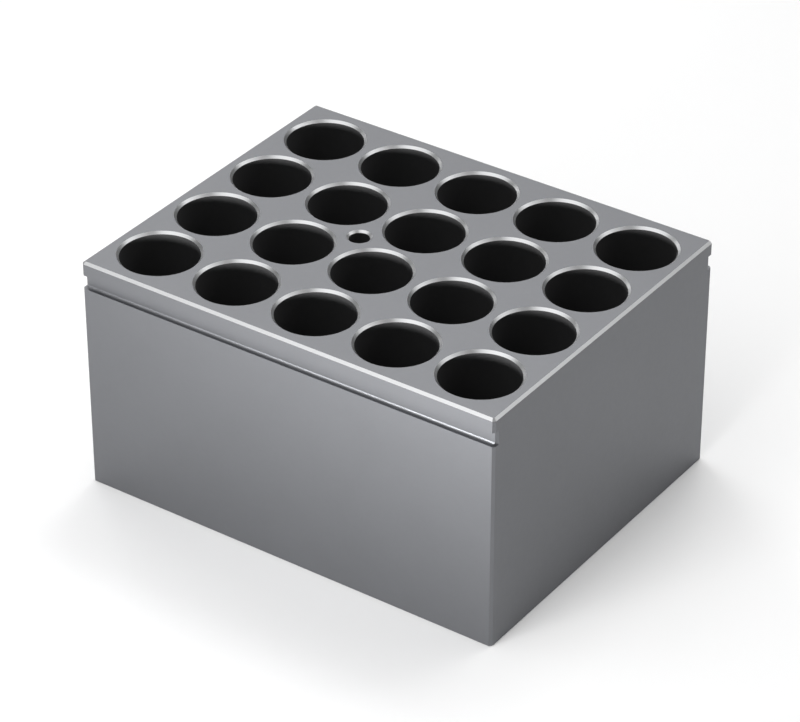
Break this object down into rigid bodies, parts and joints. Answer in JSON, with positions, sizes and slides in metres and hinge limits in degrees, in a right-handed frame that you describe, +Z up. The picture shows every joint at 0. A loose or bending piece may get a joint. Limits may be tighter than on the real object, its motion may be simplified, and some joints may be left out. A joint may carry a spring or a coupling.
{
  "type": "dry block heater tube block",
  "caption": "Rectangular anodised aluminium heat block for a dry block heater, with a grid of blind tube bores, a probe bore and side grip grooves.",
  "frame": {"origin": "centre of the base, where the block stands on the heating plate", "axes": "+X along the longer side, +Y along the shorter side of the base, +Z up out of the bore mouths"},
  "size_m": [0.095, 0.076, 0.051],
  "materials": {
    "anodised_aluminium": "satin grey anodised"
  },
  "bodies": {
    "root": {"tube_block": "anodised_aluminium"}
  },
  "joints": []
}
